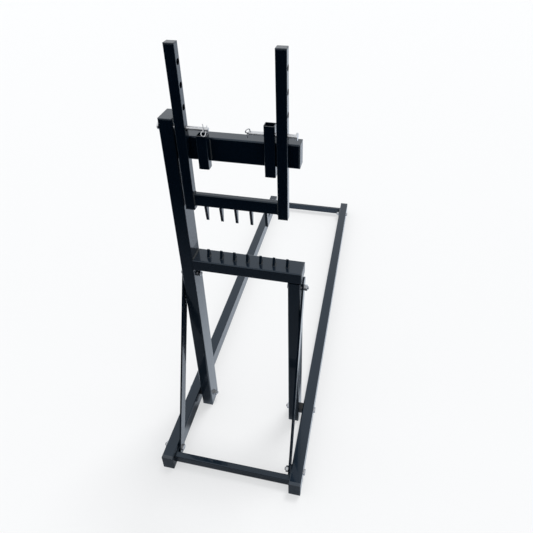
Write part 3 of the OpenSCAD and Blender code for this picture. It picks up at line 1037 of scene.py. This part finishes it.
class STAND_OT_frame_welds(bpy.types.Operator):
    """Weld the beams, the leg, the guide tubes and the crossbars of the frame"""

    bl_idname = "saw_stand.frame_welds"
    bl_label = "Frame welds"

    def execute(self, context):
        leg = choices("stand_welds").frame_leg
        low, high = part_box("lower_beam")
        weld_piece("lower_beam_weld", "stand_frame", beam_end(low, high), leg)

        beam_low, beam_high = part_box("head_beam")
        runs = beam_end(beam_low, beam_high)
        runs.append(run_up(beam_low.x, beam_low.y, beam_low, beam_high, TUBE_CORNER, X_AXIS, -Y_AXIS))
        weld_piece("head_beam_weld", "stand_frame", runs, leg)

        low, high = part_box("right_leg")
        runs = [run_along(low.x, high.z, low, high, TUBE_CORNER, -X_AXIS, -Z_AXIS)]
        weld_piece("leg_top_weld", "stand_frame", runs, leg)

        runs = []
        for node in ("left_guide_tube", "right_guide_tube"):
            low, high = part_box(node)
            for x, way in ((low.x + GUIDE_CORNER, -X_AXIS), (high.x - GUIDE_CORNER, X_AXIS)):
                runs.append(run_up(x, high.y, beam_low, beam_high, TUBE_CORNER, way, -Y_AXIS))
        weld_piece("guide_tube_welds", "stand_frame", runs, leg * LIGHT_WELD)

        runs = []
        for node, inward in (("front_crossbar", Y_AXIS), ("rear_crossbar", -Y_AXIS)):
            low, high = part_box(node)
            y = high.y if inward.y > 0 else low.y
            for x, way in ((low.x, X_AXIS), (high.x, -X_AXIS)):
                runs.append(run_up(x, y, low, high, BAR_CORNER, way, inward))
        weld_piece("crossbar_welds", "stand_frame", runs, leg * LIGHT_WELD)
        return {"FINISHED"}


class STAND_OT_tooth_welds(bpy.types.Operator):
    """Weld both rows of teeth to their beams"""

    bl_idname = "saw_stand.tooth_welds"
    bl_label = "Tooth welds"

    def execute(self, context):
        leg = choices("stand_welds").tooth_leg
        rows = (
            ("lower_jaw_teeth", "lower_tooth_welds", "stand_frame", Z_AXIS, LOWER_TOOTH_CORNER),
            ("upper_jaw_teeth", "upper_tooth_welds", "upper_jaw", -Z_AXIS, UPPER_TOOTH_CORNER),
        )
        for node, name, body, up, corner in rows:
            runs = []
            for low, high, _ in solids(node):
                z = low.z if up.z > 0 else high.z
                for x, way in ((low.x, -X_AXIS), (high.x, X_AXIS)):
                    runs.append(run_along(x, z, low, high, corner, way, up))
            weld_piece(name, body, runs, leg)
        return {"FINISHED"}


class STAND_OT_jaw_welds(bpy.types.Operator):
    """Weld the jaw's crossbar to its posts"""

    bl_idname = "saw_stand.jaw_welds"
    bl_label = "Jaw welds"

    def execute(self, context):
        look = choices("stand_welds")
        pitch = look.ripple_pitch
        low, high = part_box("jaw_crossbar")
        middle = (low + high) / 2
        size = high - low
        bm = bmesh.new()
        for x, way in ((low.x, X_AXIS), (high.x, -X_AXIS)):
            centre = Vector((x, middle.y, middle.z))
            path = rounded_path(
                centre, Y_AXIS, Z_AXIS, size.y, size.z, BAR_CORNER, pitch / RIPPLE_STEPS
            )
            stations = [(point, way, out) for point, out in path]
            weld(bm, stations, look.jaw_leg, pitch, closed=True)
        piece("jaw_bar_welds", bm, "upper_jaw", "powder_coat")
        return {"FINISHED"}


class STAND_OT_bolts(bpy.types.Operator):
    """Replace the plain bolts, nuts and washers with threaded and chamfered ones"""

    bl_idname = "saw_stand.bolts"
    bl_label = "Bolts, nuts and washers"

    def execute(self, context):
        look = choices("stand_hardware")
        for node, name, shape in HARDWARE:
            bm = bmesh.new()
            for box in solids(node):
                shape(bm, box, look)
            made = piece(name, bm, "stand_frame", "bolt_zinc", crease=30.0)
            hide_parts(node)
        return {"FINISHED"}


class STAND_OT_clips(bpy.types.Operator):
    """Bend the two retaining clips from round wire"""

    bl_idname = "saw_stand.clips"
    bl_label = "Retaining clips"

    def execute(self, context):
        look = choices("stand_clips")
        clip(
            "left_wire_clip", "left_retaining_clip", "left_lock_pin", "left_clip",
            look.left_turn, -look.twist, at_high_end=True,
        )
        clip(
            "right_wire_clip", "right_retaining_clip", "right_lock_pin", "right_clip",
            look.right_turn, look.twist, at_high_end=False,
        )
        return {"FINISHED"}


OPERATORS = (
    STAND_OT_stage,
    STAND_OT_finishes,
    STAND_OT_frame_welds,
    STAND_OT_tooth_welds,
    STAND_OT_jaw_welds,
    STAND_OT_bolts,
    STAND_OT_clips,
)


class STAND_PT_panel(bpy.types.Panel):
    """The stand's operators and settings"""

    bl_idname = "STAND_PT_panel"
    bl_label = "Saw stand"
    bl_space_type = "VIEW_3D"
    bl_region_type = "UI"
    bl_category = "Saw stand"

    def draw(self, context):
        for operator in OPERATORS:
            self.layout.operator(operator.bl_idname)
        for name, group in GROUPS.items():
            box = self.layout.box()
            box.label(text=group.__doc__)
            for key in group.__annotations__:
                box.prop(choices(name), key)


def register():
    for group in GROUPS.values():
        bpy.utils.register_class(group)
    for name, group in GROUPS.items():
        setattr(bpy.types.Scene, name, PointerProperty(type=group))
    for operator in OPERATORS:
        bpy.utils.register_class(operator)
    bpy.utils.register_class(STAND_PT_panel)


def unregister():
    bpy.utils.unregister_class(STAND_PT_panel)
    for operator in reversed(OPERATORS):
        bpy.utils.unregister_class(operator)
    for name in GROUPS:
        delattr(bpy.types.Scene, name)
    for group in reversed(GROUPS.values()):
        bpy.utils.unregister_class(group)


def main():
    register()
    bpy.ops.saw_stand.stage()
    bpy.ops.saw_stand.finishes()
    bpy.ops.saw_stand.frame_welds()
    bpy.ops.saw_stand.tooth_welds()
    bpy.ops.saw_stand.jaw_welds()
    bpy.ops.saw_stand.bolts()
    bpy.ops.saw_stand.clips()


if __name__ == "__main__":
    main()
